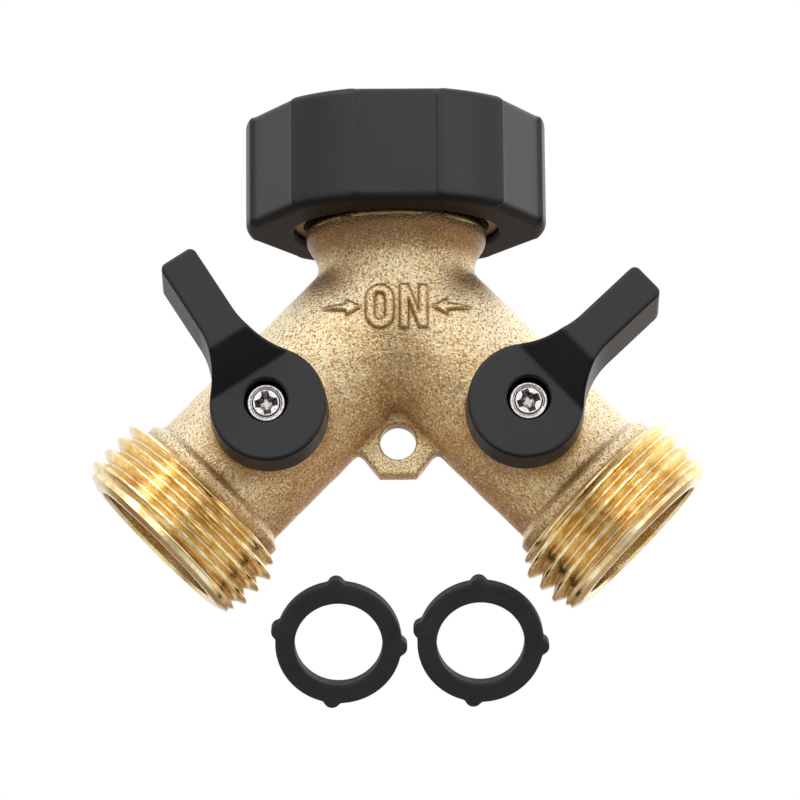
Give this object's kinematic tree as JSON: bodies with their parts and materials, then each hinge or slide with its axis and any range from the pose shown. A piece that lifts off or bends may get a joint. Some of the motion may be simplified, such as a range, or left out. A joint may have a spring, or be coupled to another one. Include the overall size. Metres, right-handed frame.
{
  "type": "hose splitter",
  "caption": "Brass Y splitter for a garden tap, with a swivelling inlet nut, two threaded outlets and a lever ball valve in each leg.",
  "frame": {"origin": "on the inlet axis at the bottom of the female inlet thread, at the nominal top of the inlet washer", "axes": "+Z along the inlet axis up into the tap, -Y the front with the levers, the outlet legs down and out at 45 degrees in the XZ plane"},
  "size_m": [0.0794, 0.0463, 0.077],
  "materials": {
    "cast_brass": "sandblasted casting with turned threads",
    "turned_brass": "turned",
    "spring_wire": "satin spring bronze",
    "plated_ball": "polished",
    "seat_plastic": "waxy white fluoropolymer",
    "black_grip": "satin moulded",
    "black_lever": "fine grained moulded",
    "screw_steel": "bright",
    "rubber": "matte",
    "grey_rubber": "matte moulded"
  },
  "bodies": {
    "body": {"y_body": "cast_brass", "seat_inner_left": "seat_plastic", "seat_outer_left": "seat_plastic", "seat_retainer_left": "turned_brass", "seat_inner_right": "seat_plastic", "seat_outer_right": "seat_plastic", "seat_retainer_right": "turned_brass"},
    "inlet_nut": {"nut_grip": "black_grip", "nut_insert": "turned_brass", "nut_retaining_ring": "spring_wire", "inlet_washer": "rubber"},
    "left_valve": {"ball_left": "plated_ball", "stem_left": "turned_brass", "stem_orings_left": "rubber", "thrust_washer_left": "seat_plastic", "lever_left": "black_lever", "lever_screw_left": "screw_steel"},
    "right_valve": {"ball_right": "plated_ball", "stem_right": "turned_brass", "stem_orings_right": "rubber", "thrust_washer_right": "seat_plastic", "lever_right": "black_lever", "lever_screw_right": "screw_steel"},
    "left_spare": {"spare_washer_left": "grey_rubber"},
    "right_spare": {"spare_washer_right": "grey_rubber"}
  },
  "joints": [
    {"name": "inlet_swivel", "type": "hinge", "parent": "body", "child": "inlet_nut", "pos_m": [0, 0, 0], "axis": [0, 0, 1], "continuous": true},
    {"name": "left_lever_turn", "type": "hinge", "parent": "body", "child": "left_valve", "pos_m": [-0.01648, 0, -0.03328], "axis": [0, 1, 0], "range_deg": [-12.5, 77.5]},
    {"name": "right_lever_turn", "type": "hinge", "parent": "body", "child": "right_valve", "pos_m": [0.01648, 0, -0.03328], "axis": [0, -1, 0], "range_deg": [0, 90]},
    {"name": "left_spare_lift", "type": "slide", "parent": "body", "child": "left_spare", "axis": [0, -1, 0], "range_m": [0, 0.03]},
    {"name": "right_spare_lift", "type": "slide", "parent": "body", "child": "right_spare", "axis": [0, -1, 0], "range_m": [0, 0.03]}
  ]
}
